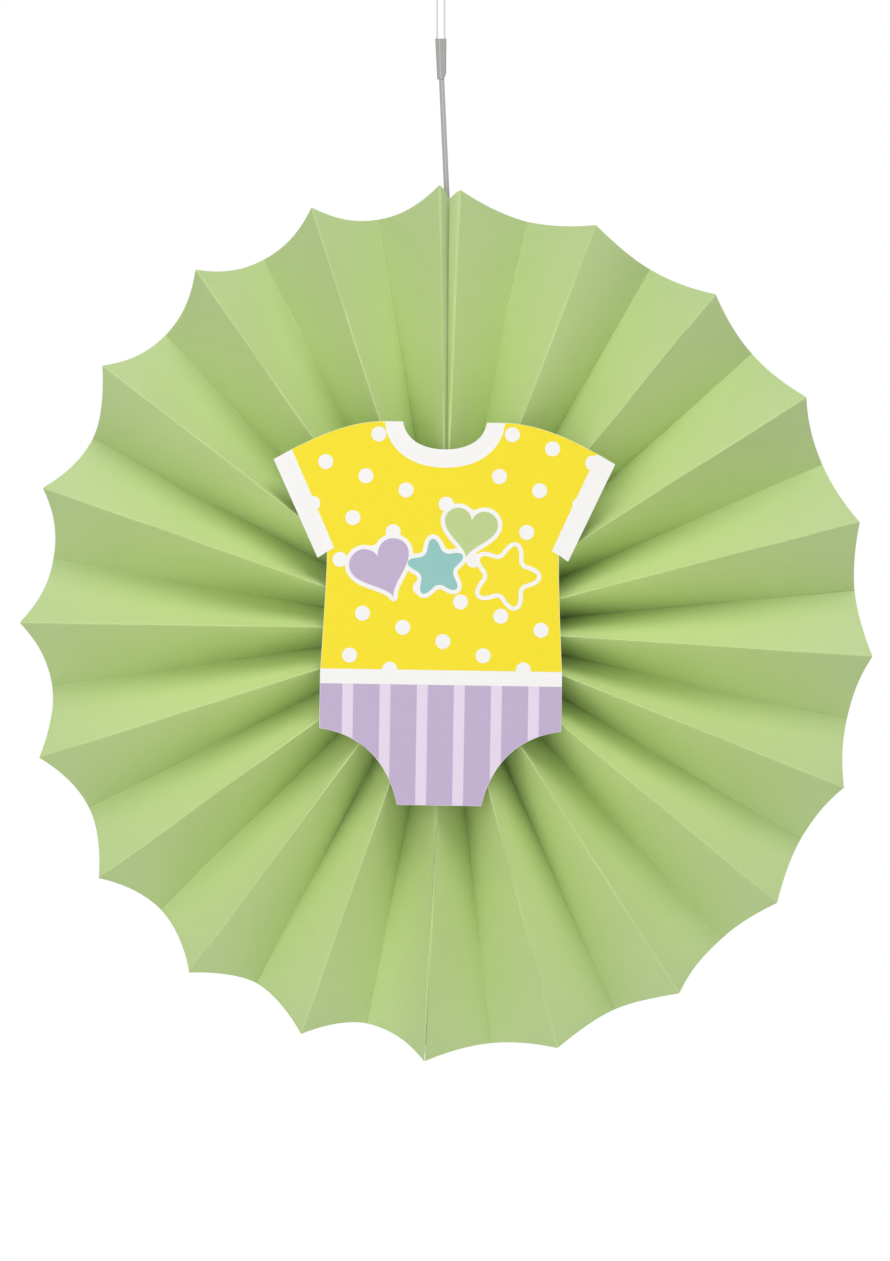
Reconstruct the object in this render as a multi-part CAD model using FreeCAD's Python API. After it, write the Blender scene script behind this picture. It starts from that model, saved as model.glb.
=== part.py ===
"""A hanging paper fan rosette with a die-cut baby-vest card on its centre.

Two pleated paper sheets, left and right, make a full circle. They are glued to each
other at the bottom ridge and close along a seam at the top. Card discs hold the
gathered middle, foam pads carry the printed card, and the whole hangs from a flat grey
strap that ends in a crimped sleeve with a loop of clear thread.

Millimetres. +X is to the right, +Y goes back, +Z is up, and the front faces -Y.
The origin is where a hook carries the thread loop.
"""

import FreeCAD
import Part
import math
import os

Vector = FreeCAD.Vector
ACROSS = Vector(1, 0, 0)
BACK = Vector(0, 1, 0)
UP = Vector(0, 0, 1)

# Paper and its folds
PAPER = 0.25
FOLD_SLACK = 0.1
PLEAT_WIDTH = 38.0
PLEATS_PER_SHEET = 10

# The fan: its ridge tips, how far each sheet's stand from that, and how the hang draws them
FAN_RADIUS = 200.0
REACH_LEFT = -0.5
REACH_RIGHT = 1.2
HUB_RADIUS = 6.0
LEVEL_RADIUS = 60.0
SCALLOP_DROP_LEFT = 10.8
SCALLOP_DROP_RIGHT = 5.6
JOINT_STRETCH = 2.6
BOTTOM_STRETCH_LEFT = 1.7
BOTTOM_STRETCH_RIGHT = 2.0
TOP_STRETCH_LEFT = 10.0
TOP_STRETCH_RIGHT = 2.8
SEAM_LIFT_RIGHT = 3.4

# Angles in degrees, clockwise from straight up
SEAM_ANGLE = 0.4
JOINT_ANGLE = 182.7
CROWDING_LEFT = 0.05
SIDE_BULGE_RIGHT = 0.0066

# The end flaps, with where they stand from the seam's plane at the rim
FLAP_WIDTH = 5.2
TUCK_WIDTH = 4.5
FLAP_CUT = 0.72
SEAM_SPLAY_LEFT = 3.4
SEAM_SPLAY_RIGHT = 5.2
SEAM_SLIT_LEFT = 0.5
SEAM_SLIT_RIGHT = 0.6
SEAM_TUCK = 1.5
ADHESIVE = 0.15
ADHESIVE_MARGIN = 0.6
ADHESIVE_END = 4.0

# The discs that hold the middle, the foam pads and the card in front
FRONT_DISC_RADIUS = 30.0
BACK_DISC_RADIUS = 40.0
DISC_THICKNESS = 0.5
PAD_SIZE = 15.0
PAD_THICKNESS = 1.6
PAD_SPACING = 22.0
CARD_THICKNESS = 0.6
CARD_SHIFT = -1.4
CARD_RAISE = 7.8
CARD_TURN = 0.9

# The card's outline, as half widths and heights from its middle
CARD_TOP = 89.7
CARD_BOTTOM = 89.7
SLEEVE_REACH = 79.9
SLEEVE_TOP = 71.1
CUFF_REACH = 58.6
CUFF_BOTTOM = 25.3
UNDERARM_HEIGHT = 28.3
CHEST_HALF = 54.2
HIP_HALF = 56.6
HIP_HEIGHT = -28.0
LEG_HEIGHT = -54.3
CROTCH_HALF = 19.7
COLLAR_HALF = 28.0
NECK_HALF = 19.6
NECK_DEPTH = 12.8

# The hanger
HOOK_RADIUS = 1.4
THREAD_DIAMETER = 0.7
CRIMP_TOP = 28.3
CRIMP_LENGTH = 19.1
CRIMP_WALL = 0.3
CRIMP_CLEARANCE = 0.05
CRIMP_EASE = 0.5
CRIMP_CUT_WIDTH = 1.0
CRIMP_CUT_HEIGHT = 2.8
THREAD_TAIL = 4.0
STRAP_WIDTH = 2.5
STRAP_THICKNESS = 0.8
STRAP_SHIFT = 0.35
STRAP_TAIL = 8.0
STRAP_TUCKED = 15.0
STRAP_GAP = 0.3
STRAP_SEEN = 51.1

# The fan's centre beside the hook, and the strap beside the fan's centre
FAN_SHIFT = 1.96
STRAP_AT_RIM = 0.7

# How finely the folded paper and the sleeve's round edges are cut into flat facets
FACETS_ALONG = 5
FACETS_ACROSS = 5
BEND_FACETS = 8

RIDGE_STEPS = 2 * PLEATS_PER_SHEET
FOLD_WIDTH = 2 * PAPER + FOLD_SLACK
LEVEL_LENGTH = FAN_RADIUS - LEVEL_RADIUS
LEFT_TIP = FAN_RADIUS + REACH_LEFT + TOP_STRETCH_LEFT
CRIMP_BOTTOM = CRIMP_TOP + CRIMP_LENGTH
FAN_DROP = CRIMP_BOTTOM + STRAP_SEEN + LEFT_TIP


def fan_point(radius, angle, sideways, depth):
    """A point of the fan from its radius and angle, then sideways (clockwise) and back."""
    turned = math.radians(angle)
    return Vector(
        FAN_SHIFT + radius * math.sin(turned) + sideways * math.cos(turned),
        depth,
        -FAN_DROP + radius * math.cos(turned) - sideways * math.sin(turned),
    )


def between(start, end, share):
    return start + (end - start) * share


def half_depth_at(radius):
    """Half the pleats' depth where the paper's full width just spans the opening."""
    opening = 2 * radius * math.sin(math.pi / (2 * RIDGE_STEPS)) - FOLD_WIDTH
    return math.sqrt(PLEAT_WIDTH ** 2 - opening ** 2) / 2


HUB_HALF_DEPTH = half_depth_at(LEVEL_RADIUS)
RIM_HALF_DEPTH = half_depth_at(FAN_RADIUS)


class Sheet:
    """One half of the fan, with what sets the left sheet apart from the right one."""

    def __init__(self, turn, span, reach, drop, splay, flaps):
        self.turn = turn
        self.span = span
        self.radius = FAN_RADIUS + reach
        self.drop = drop
        self.arc = (drop ** 2 + PLEAT_WIDTH ** 2) / (2 * drop)
        self.splay = splay
        self.flaps = flaps
        self.crowding = 0.0
        self.bulge = 0.0
        self.seam_lift = 0.0
        self.top_stretch = 0.0
        self.bottom_stretch = 0.0

    def angle(self, from_seam):
        return SEAM_ANGLE + self.turn * from_seam

    def spread(self, step):
        """A fold's share of the sheet's span, 0 at the seam and 1 at the joint."""
        share = step / RIDGE_STEPS
        crowded = self.crowding * math.sin(2 * math.pi * share) / (2 * math.pi)
        return share - crowded + self.bulge * math.sin(math.pi * share)

    def tip_radius(self, from_seam, step):
        if step == RIDGE_STEPS:
            return FAN_RADIUS + JOINT_STRETCH
        upright = math.cos(math.radians(self.angle(from_seam)))
        stretch = self.top_stretch if upright > 0 else self.bottom_stretch
        lift = self.seam_lift if step == 0 else 0.0
        return self.radius + stretch * upright ** 2 + lift

    def scallop_drop(self, from_ridge):
        """How far the die-cut arc has dropped, a share of the way from ridge to valley."""
        low = math.sqrt(self.arc ** 2 - PLEAT_WIDTH ** 2)
        return math.sqrt(self.arc ** 2 - (PLEAT_WIDTH * (1 - from_ridge)) ** 2) - low


class Station:
    """A ring across a sheet, with the pleats' half depth and where the ends stand."""

    def __init__(self, sheet, radius, half_depth, open_share):
        self.sheet = sheet
        self.radius = radius
        self.half_depth = half_depth
        self.open_share = open_share
        crest = ADHESIVE / 2 + FOLD_WIDTH / 2
        self.first = math.degrees((crest + sheet.splay * open_share) / radius)
        self.last = sheet.span - math.degrees(crest / radius)

    def from_seam(self, step):
        return self.first + (self.last - self.first) * self.sheet.spread(step)

    def slope(self):
        """How steep the panels are, in radians from the fan's plane."""
        step = math.radians((self.last - self.first) / RIDGE_STEPS) * self.radius
        return math.atan2(2 * self.half_depth, step - FOLD_WIDTH)

    def flap_lines(self, at_seam):
        """The lines of an end flap: how far from the seam's plane, and how deep."""
        crest = ADHESIVE / 2 + (self.sheet.splay * self.open_share if at_seam else 0.0)
        lines = [(crest, -self.half_depth)]
        flaps = self.sheet.flaps if at_seam else [(0.0, FLAP_WIDTH)]
        for shift, width in flaps:
            apart = ADHESIVE / 2 + shift * self.open_share
            run = lines[-1][0] - apart
            lines.append((apart, lines[-1][1] + math.sqrt(width ** 2 - run ** 2)))
        return lines


class Rail:
    """A line out along the sheet: front and back points at the stations, and its reach."""

    def __init__(self, front, back, drop):
        self.front = front
        self.back = back
        self.reach = 1.0 - drop / LEVEL_LENGTH

    def at(self, side, out, drop):
        """The point a share of the way out past the level ring, ending at the cut edge."""
        points = getattr(self, side)
        return between(points[1], points[2], out * (1.0 - drop / LEVEL_LENGTH))


def mitre(first_slope, second_slope):
    """The paper's thickness at a bend, as sideways and deep shares of it."""
    middle = (first_slope + second_slope) / 2
    length = PAPER / math.cos((second_slope - first_slope) / 2)
    return length * math.sin(middle), length * math.cos(middle)


def sheet_radius(sheet, station, number, step):
    if number < 2:
        return station.radius
    return sheet.tip_radius(station.from_seam(step), step)


def flap_rails(sheet, stations, at_seam):
    """The rails of an end flap, from the free edge to its crest."""
    plane_angle = SEAM_ANGLE if at_seam else JOINT_ANGLE
    inward = sheet.turn if at_seam else -sheet.turn
    step = 0 if at_seam else RIDGE_STEPS
    count = len(stations[0].flap_lines(at_seam))
    rails = []
    for line in range(count - 1, -1, -1):
        front, back = [], []
        for number, station in enumerate(stations):
            lines = station.flap_lines(at_seam)
            slopes = [0.0]
            for near, far in zip(lines, lines[1:]):
                slopes.append(math.atan2(far[1] - near[1], near[0] - far[0]))
            slopes.append(slopes[-1])
            aside, deeper = mitre(slopes[line], slopes[line + 1])
            apart, depth = lines[line]
            radius = sheet_radius(sheet, station, number, step)
            front.append(fan_point(radius, plane_angle, inward * apart, depth))
            back.append(fan_point(radius, plane_angle, inward * (apart + aside), depth + deeper))
        widths = [width for shift, width in (sheet.flaps if at_seam else [(0.0, FLAP_WIDTH)])]
        rails.append(Rail(front, back, FLAP_CUT * sum(widths[:line])))
    return rails


def fold_rails(sheet, stations, step):
    """The two rails of a fold, on both sides of its small flat crest."""
    ridge = step % 2 == 0
    rails = []
    for edge in (-1, 1):
        front, back = [], []
        for number, station in enumerate(stations):
            aside, deeper = mitre(0.0, station.slope())
            radius = sheet_radius(sheet, station, number, step)
            angle = sheet.angle(station.from_seam(step))
            side = sheet.turn * edge
            depth = -station.half_depth if ridge else station.half_depth
            outer = fan_point(radius, angle, side * FOLD_WIDTH / 2, depth)
            inner_depth = depth + deeper if ridge else depth - deeper
            inner = fan_point(radius, angle, side * (FOLD_WIDTH / 2 - aside), inner_depth)
            front.append(outer if ridge else inner)
            back.append(inner if ridge else outer)
        rails.append(Rail(front, back, 0.0 if ridge else sheet.drop))
    return rails


class Strip:
    """The paper between two rails, with how far its cut edge drops across it."""

    def __init__(self, first, second, spans, drops):
        self.first = first
        self.second = second
        self.spans = spans
        self.drops = drops

    def grid(self, side):
        """Rows of points from the hub to the cut edge, each row running across."""
        first, second = getattr(self.first, side), getattr(self.second, side)
        shares = [n / self.spans for n in range(self.spans + 1)]
        rows = [[between(first[0], second[0], share) for share in shares]]
        for along in range(FACETS_ALONG + 1):
            row = []
            for share, drop in zip(shares, self.drops):
                start = self.first.at(side, along / FACETS_ALONG, drop)
                end = self.second.at(side, along / FACETS_ALONG, drop)
                row.append(between(start, end, share))
            rows.append(row)
        return rows


def panel_strip(sheet, first, second, ridge_first):
    shares = [n / FACETS_ACROSS for n in range(FACETS_ACROSS + 1)]
    drops = [sheet.scallop_drop(share if ridge_first else 1 - share) for share in shares]
    return Strip(first, second, FACETS_ACROSS, drops)


def flat_strip(first, second):
    drops = [(1 - rail.reach) * LEVEL_LENGTH for rail in (first, second)]
    return Strip(first, second, 1, drops)


def sheet_strips(sheet):
    stations = [
        Station(sheet, HUB_RADIUS, HUB_HALF_DEPTH, 0.0),
        Station(sheet, LEVEL_RADIUS, HUB_HALF_DEPTH, 0.0),
        Station(sheet, FAN_RADIUS, RIM_HALF_DEPTH, 1.0),
    ]
    seam = flap_rails(sheet, stations, True)
    joint = flap_rails(sheet, stations, False)[::-1]
    folds = [fold_rails(sheet, stations, step) for step in range(RIDGE_STEPS + 1)]
    folds[0][0] = seam[-1]
    folds[-1][1] = joint[0]
    strips = [flat_strip(a, b) for a, b in zip(seam, seam[1:])]
    for step, (near, far) in enumerate(folds):
        strips.append(flat_strip(near, far))
        if step < RIDGE_STEPS:
            strips.append(panel_strip(sheet, far, folds[step + 1][0], step % 2 == 0))
    strips.extend(flat_strip(a, b) for a, b in zip(joint, joint[1:]))
    return strips


def facet(*corners):
    return Part.Face(Part.makePolygon(list(corners) + [corners[0]]))


def cell(a, b, c, d):
    """A four-cornered cell as two triangles, cut along its shorter diagonal."""
    if a.distanceToPoint(c) <= b.distanceToPoint(d):
        return [facet(a, b, c), facet(a, c, d)]
    return [facet(a, b, d), facet(b, c, d)]


def ribbon(first, second):
    faces = []
    for a, b, c, d in zip(first, first[1:], second[1:], second):
        faces.extend(cell(a, b, c, d))
    return faces


def closed_solid(faces):
    shape = Part.makeCompound(faces)
    shape.sewShape(1e-5)
    solid = Part.Solid(shape.Shells[0])
    if solid.Volume < 0:
        solid.reverse()
    return solid


def pleated_sheet(sheet):
    strips = sheet_strips(sheet)
    faces = []
    for strip in strips:
        front, back = strip.grid("front"), strip.grid("back")
        for rows in (front, back):
            for inner, outer in zip(rows, rows[1:]):
                faces.extend(ribbon(inner, outer))
        faces.extend(ribbon(front[0], back[0]))
        faces.extend(ribbon(front[-1], back[-1]))
    for strip, column in ((strips[0], 0), (strips[-1], -1)):
        front = [row[column] for row in strip.grid("front")]
        back = [row[column] for row in strip.grid("back")]
        faces.extend(ribbon(front, back))
    return closed_solid(faces)


LEFT_FLAPS = [(SEAM_SLIT_LEFT, FLAP_WIDTH), (-SEAM_TUCK, TUCK_WIDTH)]
RIGHT_FLAPS = [(SEAM_SLIT_RIGHT, FLAP_WIDTH)]
RIGHT_SPAN = JOINT_ANGLE - SEAM_ANGLE
LEFT = Sheet(-1, 360.0 - RIGHT_SPAN, REACH_LEFT, SCALLOP_DROP_LEFT, SEAM_SPLAY_LEFT, LEFT_FLAPS)
LEFT.crowding = CROWDING_LEFT
LEFT.top_stretch = TOP_STRETCH_LEFT
LEFT.bottom_stretch = BOTTOM_STRETCH_LEFT
RIGHT = Sheet(1, RIGHT_SPAN, REACH_RIGHT, SCALLOP_DROP_RIGHT, SEAM_SPLAY_RIGHT, RIGHT_FLAPS)
RIGHT.bulge = SIDE_BULGE_RIGHT
RIGHT.seam_lift = SEAM_LIFT_RIGHT
RIGHT.top_stretch = TOP_STRETCH_RIGHT
RIGHT.bottom_stretch = BOTTOM_STRETCH_RIGHT


def fan_plate(outline, angle, thickness):
    """A flat piece in the seam's or the joint's plane, from radius and depth pairs."""
    side = -thickness / 2
    points = [fan_point(radius, angle, side, depth) for radius, depth in outline]
    sideways = fan_point(0, angle, thickness, 0) - fan_point(0, angle, 0, 0)
    return facet(*points).extrude(sideways)


def seam_adhesive():
    """The strip that glues the two seam flaps, where they lie flat on each other."""
    front = -HUB_HALF_DEPTH + ADHESIVE_MARGIN
    back = -HUB_HALF_DEPTH + FLAP_WIDTH - ADHESIVE_MARGIN
    near = HUB_RADIUS + ADHESIVE_END
    far = LEVEL_RADIUS
    outline = [(near, front), (far, front), (far, back), (near, back)]
    return fan_plate(outline, SEAM_ANGLE, ADHESIVE)


def joint_adhesive():
    """The strip between the two flaps of the bottom ridge, from the hub to the rim."""
    tip = FAN_RADIUS + JOINT_STRETCH
    far = tip - FLAP_CUT * FLAP_WIDTH - ADHESIVE_END
    share = (far - LEVEL_RADIUS) / (tip - LEVEL_RADIUS)
    near = HUB_RADIUS + ADHESIVE_END
    rim_depth = HUB_HALF_DEPTH + (RIM_HALF_DEPTH - HUB_HALF_DEPTH) * share
    margins = (ADHESIVE_MARGIN, FLAP_WIDTH - ADHESIVE_MARGIN)
    edges = []
    for margin in margins:
        hub, rim = margin - HUB_HALF_DEPTH, margin - rim_depth
        edges.append([(near, hub), (LEVEL_RADIUS, hub), (far, rim)])
    return fan_plate(edges[0] + edges[1][::-1], JOINT_ANGLE, ADHESIVE)


def disc(radius, face_depth, direction):
    centre = fan_point(0, 0, 0, face_depth)
    return Part.makeCylinder(radius, DISC_THICKNESS, centre, BACK * direction)


PAD_DEPTH = -HUB_HALF_DEPTH - DISC_THICKNESS
CARD_DEPTH = PAD_DEPTH - PAD_THICKNESS


def foam_pad(column, row):
    x = FAN_SHIFT + column * PAD_SPACING / 2 - PAD_SIZE / 2
    z = -FAN_DROP + row * PAD_SPACING / 2 - PAD_SIZE / 2
    return Part.makeBox(PAD_SIZE, PAD_THICKNESS, PAD_SIZE, Vector(x, CARD_DEPTH, z))


def bezier(*poles):
    curve = Part.BezierCurve()
    curve.setPoles([Vector(x, 0, z) for x, z in poles])
    return curve.toShape()


def straight(start, end):
    return Part.makeLine(Vector(start[0], 0, start[1]), Vector(end[0], 0, end[1]))


def card_half(side):
    """One half of the card's outline, from the neckline's middle to the crotch."""
    neck_low = CARD_TOP - NECK_DEPTH
    neck = (side * NECK_HALF, CARD_TOP)
    collar = (side * COLLAR_HALF, CARD_TOP)
    shoulder = (side * SLEEVE_REACH, SLEEVE_TOP)
    cuff = (side * CUFF_REACH, CUFF_BOTTOM)
    underarm = (side * CHEST_HALF, UNDERARM_HEIGHT)
    hip = (side * HIP_HALF, HIP_HEIGHT)
    leg = (side * HIP_HALF, LEG_HEIGHT)
    crotch = (side * CROTCH_HALF, -CARD_BOTTOM)
    neck_pull = (side * (NECK_HALF - 1.3), CARD_TOP - 0.7 * NECK_DEPTH)
    floor_pull = (side * NECK_HALF / 2, neck_low)
    collar_pull = (side * (COLLAR_HALF + 17.0), CARD_TOP)
    sleeve_pull = (side * (SLEEVE_REACH - 17.0), SLEEVE_TOP + 10.0)
    leg_pull = (side * (HIP_HALF - 20.0), LEG_HEIGHT - 2.7)
    crotch_pull = (side * (CROTCH_HALF + 4.5), 20.2 - CARD_BOTTOM)
    return [
        bezier((0, neck_low), floor_pull, neck_pull, neck),
        straight(neck, collar),
        bezier(collar, collar_pull, sleeve_pull, shoulder),
        straight(shoulder, cuff),
        straight(cuff, underarm),
        bezier(underarm, (side * CHEST_HALF, UNDERARM_HEIGHT / 2), hip),
        straight(hip, leg),
        bezier(leg, leg_pull, crotch_pull, crotch),
        straight(crotch, (0, -CARD_BOTTOM)),
    ]


def vest_card():
    edges = card_half(1) + card_half(-1)
    wire = Part.Wire(Part.__sortEdges__(edges))
    card = Part.Face(wire).extrude(BACK * CARD_THICKNESS)
    card.rotate(Vector(0, 0, 0), BACK, CARD_TURN)
    card.translate(Vector(FAN_SHIFT + CARD_SHIFT, CARD_DEPTH - CARD_THICKNESS, CARD_RAISE - FAN_DROP))
    return card


THREAD_APART = 2 * HOOK_RADIUS + THREAD_DIAMETER
CRIMP_BORE_DEPTH = max(THREAD_DIAMETER, STRAP_THICKNESS) + 2 * CRIMP_CLEARANCE
CRIMP_MOUTH = THREAD_APART + THREAD_DIAMETER + CRIMP_EASE
CRIMP_FOOT = STRAP_WIDTH + CRIMP_BORE_DEPTH + 4 * CRIMP_CLEARANCE


def thread_loop():
    """A loop over a round hook: two straight strands and the half turn that joins them."""
    bend = THREAD_APART / 2
    top = -HOOK_RADIUS
    bottom = -CRIMP_TOP - THREAD_TAIL
    left = Part.makeLine(Vector(-bend, 0, bottom), Vector(-bend, 0, top))
    turn = Part.Arc(
        Vector(-bend, 0, top), Vector(0, 0, THREAD_DIAMETER / 2), Vector(bend, 0, top)
    ).toShape()
    right = Part.makeLine(Vector(bend, 0, top), Vector(bend, 0, bottom))
    path = Part.Wire([left, turn, right])
    section = Part.Wire(Part.makeCircle(THREAD_DIAMETER / 2, Vector(-bend, 0, bottom), UP))
    tube = path.makePipeShell([section], True, True)
    expected = math.pi * (THREAD_DIAMETER / 2) ** 2 * path.Length
    print("thread: bend radius", round(bend, 2), "length", round(path.Length, 1))
    print("thread: volume over section times length", round(tube.Volume / expected, 4))
    return tube


def oval(middle, width, depth, z):
    """Points of a flat oval at height z, round a place beside the hanger's axis."""
    radius = depth / 2
    points = []
    for side in (1, -1):
        for n in range(BEND_FACETS + 1):
            turned = math.pi * n / BEND_FACETS
            out = middle + side * (width / 2 - radius + radius * math.sin(turned))
            points.append(Vector(out, -side * radius * math.cos(turned), z))
    return points


def tapered(wall):
    """A flat oval bar the length of the sleeve, wider at its mouth than at its foot."""
    depth = CRIMP_BORE_DEPTH + 2 * wall
    middle = STRAP_SHIFT + CRIMP_CLEARANCE
    foot = oval(middle, CRIMP_FOOT + 2 * wall, depth, -CRIMP_BOTTOM)
    mouth = oval(0.0, CRIMP_MOUTH + 2 * wall, depth, -CRIMP_TOP)
    sides = ribbon(foot + foot[:1], mouth + mouth[:1])
    return closed_solid([facet(*foot), facet(*mouth)] + sides)


def crimp_sleeve():
    """A flattened tube over the thread's ends and the strap's end, one corner cut off."""
    edge = STRAP_SHIFT + CRIMP_CLEARANCE + CRIMP_FOOT / 2 + CRIMP_WALL
    corner = [
        (edge - CRIMP_CUT_WIDTH, -CRIMP_BOTTOM - CRIMP_CUT_HEIGHT),
        (edge - CRIMP_CUT_WIDTH, -CRIMP_BOTTOM),
        (edge, CRIMP_CUT_HEIGHT - CRIMP_BOTTOM),
        (edge + CRIMP_CUT_WIDTH, CRIMP_CUT_HEIGHT - CRIMP_BOTTOM),
        (edge + CRIMP_CUT_WIDTH, -CRIMP_BOTTOM - CRIMP_CUT_HEIGHT),
    ]
    reach = CRIMP_BORE_DEPTH + 2 * CRIMP_WALL
    cut = facet(*[Vector(x, -reach, z) for x, z in corner]).extrude(BACK * 2 * reach)
    return tapered(CRIMP_WALL).cut(tapered(0.0)).cut(cut)


FLAP_LINES = Station(LEFT, FAN_RADIUS, RIM_HALF_DEPTH, 1.0).flap_lines(True)
STRAP_DEPTH = FLAP_LINES[-1][1] + PAPER + STRAP_GAP
STRAP_RIM = -CRIMP_BOTTOM - STRAP_SEEN


def hanging_strap():
    """The flat strap, from inside the crimp to its glued end behind the seam."""
    thick = STRAP_THICKNESS
    behind = STRAP_DEPTH
    top = -CRIMP_BOTTOM + STRAP_TAIL
    line = [
        (-thick / 2, top),
        (-thick / 2, -CRIMP_BOTTOM),
        (behind, STRAP_RIM),
        (behind, STRAP_RIM - STRAP_TUCKED),
    ]
    profile = line + [(y + thick, z) for y, z in line[::-1]]
    points = [Vector(-STRAP_WIDTH / 2, y, z) for y, z in profile]
    strap = facet(*points).extrude(ACROSS * STRAP_WIDTH)
    run = FAN_SHIFT + STRAP_AT_RIM - STRAP_SHIFT
    lean = math.degrees(math.atan2(run, -CRIMP_BOTTOM - STRAP_RIM))
    strap.rotate(Vector(0, 0, -CRIMP_BOTTOM), BACK, -lean)
    strap.translate(ACROSS * STRAP_SHIFT)
    return strap


os.makedirs("parts", exist_ok=True)
PARTS = {
    "pleated_sheet_left": pleated_sheet(LEFT),
    "pleated_sheet_right": pleated_sheet(RIGHT),
    "seam_adhesive": seam_adhesive(),
    "joint_adhesive": joint_adhesive(),
    "front_disc": disc(FRONT_DISC_RADIUS, -HUB_HALF_DEPTH, -1),
    "back_disc": disc(BACK_DISC_RADIUS, HUB_HALF_DEPTH, 1),
    "foam_pad_upper_left": foam_pad(-1, 1),
    "foam_pad_upper_right": foam_pad(1, 1),
    "foam_pad_lower_left": foam_pad(-1, -1),
    "foam_pad_lower_right": foam_pad(1, -1),
    "vest_card": vest_card(),
    "hanging_strap": hanging_strap(),
    "crimp_sleeve": crimp_sleeve(),
    "thread_loop": thread_loop(),
}
for name, shape in PARTS.items():
    shape.exportStep("parts/" + name + ".step")
    box = shape.BoundBox
    size = [round(v, 1) for v in (box.XLength, box.YLength, box.ZLength)]
    print(name, shape.ShapeType, shape.isValid(), round(shape.Volume, 1), size)
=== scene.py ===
"""Dresses the paper fan rosette: folded paper, printed card, hanger, stage and camera."""

import math
import random

import bmesh
import bpy
from bpy.props import FloatProperty, FloatVectorProperty, IntProperty, PointerProperty
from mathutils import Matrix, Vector, noise


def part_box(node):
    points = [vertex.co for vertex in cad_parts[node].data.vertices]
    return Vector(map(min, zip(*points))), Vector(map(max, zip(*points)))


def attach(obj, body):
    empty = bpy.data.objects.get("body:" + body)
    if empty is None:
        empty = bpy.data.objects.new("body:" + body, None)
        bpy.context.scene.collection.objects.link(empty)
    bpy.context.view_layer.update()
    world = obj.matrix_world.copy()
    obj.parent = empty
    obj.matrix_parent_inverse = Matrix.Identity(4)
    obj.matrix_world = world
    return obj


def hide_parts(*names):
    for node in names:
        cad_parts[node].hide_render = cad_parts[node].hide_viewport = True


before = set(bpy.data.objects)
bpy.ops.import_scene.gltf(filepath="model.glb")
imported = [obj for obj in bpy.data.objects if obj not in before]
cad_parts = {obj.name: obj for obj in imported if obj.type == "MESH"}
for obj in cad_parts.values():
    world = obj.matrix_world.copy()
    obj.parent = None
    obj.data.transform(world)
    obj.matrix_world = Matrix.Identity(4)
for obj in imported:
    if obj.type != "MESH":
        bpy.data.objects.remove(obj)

bl_info = {
    "name": "Paper Fan Rosette",
    "version": (1, 0, 0),
    "blender": (4, 5, 0),
    "location": "View3D > Sidebar > Rosette",
    "description": "Pleated paper, printed card and hanger of a hanging fan rosette",
    "category": "Object",
}

BODY = "root"
HUB_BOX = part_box("back_disc")
CARD_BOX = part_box("vest_card")
FAN_CENTRE = (Vector(HUB_BOX[0]) + Vector(HUB_BOX[1])) / 2


# Settings


def colour(name, text, rgb):
    return FloatVectorProperty(
        name=name, description=text, subtype="COLOR", size=3, default=rgb, min=0, max=1
    )


def length(name, text, metres):
    return FloatProperty(
        name=name, description=text, unit="LENGTH", default=metres, min=0, precision=5
    )


def angle(name, text, degrees):
    return FloatProperty(
        name=name, description=text, subtype="ANGLE", default=math.radians(degrees)
    )


def power(name, text, watts):
    return FloatProperty(name=name, description=text, unit="POWER", default=watts, min=0)


def level(name, text, value):
    return FloatProperty(name=name, description=text, default=value, min=0)


class FanSizes(bpy.types.PropertyGroup):
    paper: length("Paper", "Thickness of the folded paper", 0.00025)
    fold_slack: length("Fold slack", "Room inside a fold", 0.0001)
    pleat_width: length("Pleat width", "Width of a panel between two folds", 0.038)
    fan_radius: length("Fan radius", "Ridge tips at the fan's sides", 0.2)
    hub_radius: length("Hub radius", "Inner end of the folds", 0.006)
    level_radius: length("Level radius", "Where the folds stop running level", 0.06)
    left_drop: length("Left scallop drop", "How far the left valleys are cut back", 0.0108)
    right_drop: length("Right scallop drop", "How far the right valleys are cut back", 0.0056)
    joint_stretch: length("Joint stretch", "How far the lowest tip hangs out", 0.0026)
    flap_width: length("Flap width", "Width of the end flaps", 0.0052)
    tuck_width: length("Tuck width", "Width of the tucked strip on the left flap", 0.0045)
    flap_cut: level("Flap cut", "Slope of the end flaps' cut", 0.72)
    adhesive: length("Adhesive", "Thickness of the glue strips", 0.00015)
    seam_angle: angle("Seam angle", "Seam, from straight up", 0.4)
    joint_angle: angle("Joint angle", "Glued ridge, from straight up", 182.7)
    pleats: IntProperty(name="Pleats", description="Pleats in each sheet", default=10, min=2)
    bow: length("Bow", "How far a panel may bow out of true", 0.0016)


class PaperColours(bpy.types.PropertyGroup):
    # The inner colour is lighter than the dye at the rim: painted light, standing in for light that
    # reaches the deep folds toward the middle.
    inner_painted_light_green: colour("Inner green", "Paper toward the middle, lightened as painted light", (0.690, 0.855, 0.300))
    green: colour("Green", "Dyed paper toward the rim", (0.472, 0.612, 0.268))
    deep_green: colour("Deep green", "Darker patches of the dye", (0.440, 0.590, 0.235))
    # This paler green shows in fibres and cut edges, and along the ridges as rubbed paper with a
    # painted highlight.
    pale_fibre_and_highlight: colour("Crease", "Paler fibres, rubbed folds and painted ridge highlight", (0.640, 0.785, 0.365))
    cut_edge: colour("Cut edge", "Paper's cut edge", (0.54, 0.66, 0.36))


class BackingColours(bpy.types.PropertyGroup):
    board: colour("Board", "Plain board of the hub discs", (0.80, 0.79, 0.74))
    foam: colour("Foam", "Foam pads behind the card", (0.86, 0.86, 0.84))
    deep_foam: colour("Deep foam", "Cells of the foam", (0.72, 0.72, 0.70))
    glue: colour("Glue", "Glue strips over the green paper", (0.60, 0.71, 0.40))
    deep_glue: colour("Deep glue", "Thicker places of the glue", (0.52, 0.65, 0.33))


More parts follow.
